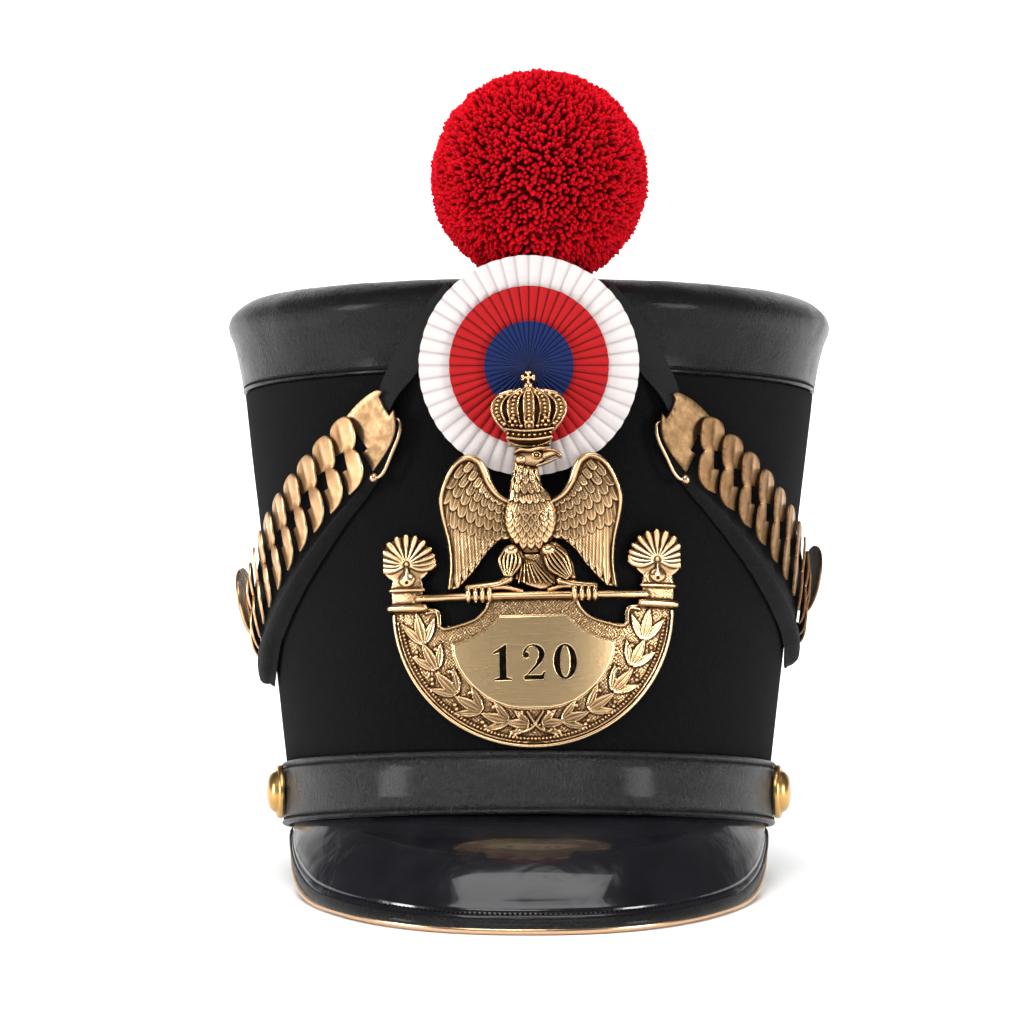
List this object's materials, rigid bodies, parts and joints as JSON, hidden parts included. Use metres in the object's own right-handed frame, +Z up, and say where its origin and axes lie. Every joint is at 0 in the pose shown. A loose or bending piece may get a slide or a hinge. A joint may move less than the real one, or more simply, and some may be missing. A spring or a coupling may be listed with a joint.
{
  "type": "shako hat",
  "caption": "Military shako: flared black felt hat with leather bands, patent peak, brass eagle plate, scale chains, pleated cockade and round wool pompom.",
  "frame": {"origin": "on the table under the middle of the resting hat's footprint, half way across its width and its length", "axes": "+Z up, -Y to the front (the peak and the plate), +X to the right as seen from the front"},
  "size_m": [0.232, 0.3064, 0.3142],
  "materials": {
    "felt": "matt black wool felt",
    "leather": "creased black leather, half gloss",
    "patent_leather": "high gloss black patent leather",
    "antique_brass": "warm antique brass, dark in the hollows, polished on the edges",
    "bright_brass": "polished yellow brass",
    "rim_brass": "reddish polished brass",
    "strap_cloth": "soft black padded cloth",
    "ribbon_cloth": "ribbed black ribbon",
    "white_cotton": "ribbed white cotton",
    "red_cotton": "ribbed red cotton",
    "blue_cotton": "ribbed navy cotton",
    "red_wool": "red wool tufts",
    "stem_wood": "plain turned wood"
  },
  "bodies": {
    "root": {"crown_body": "felt", "crown_top": "leather", "top_band": "leather", "base_band": "leather", "peak": "patent_leather", "peak_rim": "rim_brass", "shako_plate": "antique_brass", "pompom": "red_wool", "pompom_stem": "stem_wood", "cockade_white": "white_cotton", "cockade_red": "red_cotton", "cockade_blue": "blue_cotton", "boss_left": "bright_brass", "strap_left": "strap_cloth", "tip_plate_left": "antique_brass", "hook_left": "rim_brass", "rosette_left": "antique_brass", "ribbon_left": "ribbon_cloth", "scale_left_01": "antique_brass", "scale_left_02": "antique_brass", "scale_left_03": "antique_brass", "scale_left_04": "antique_brass", "scale_left_05": "antique_brass", "scale_left_06": "antique_brass", "scale_left_07": "antique_brass", "scale_left_08": "antique_brass", "scale_left_09": "antique_brass", "scale_left_10": "antique_brass", "scale_left_11": "antique_brass", "boss_right": "bright_brass", "strap_right": "strap_cloth", "tip_plate_right": "antique_brass", "hook_right": "rim_brass", "rosette_right": "antique_brass", "ribbon_right": "ribbon_cloth", "scale_right_01": "antique_brass", "scale_right_02": "antique_brass", "scale_right_03": "antique_brass", "scale_right_04": "antique_brass", "scale_right_05": "antique_brass", "scale_right_06": "antique_brass", "scale_right_07": "antique_brass", "scale_right_08": "antique_brass", "scale_right_09": "antique_brass", "scale_right_10": "antique_brass", "scale_right_11": "antique_brass"}
  },
  "joints": []
}
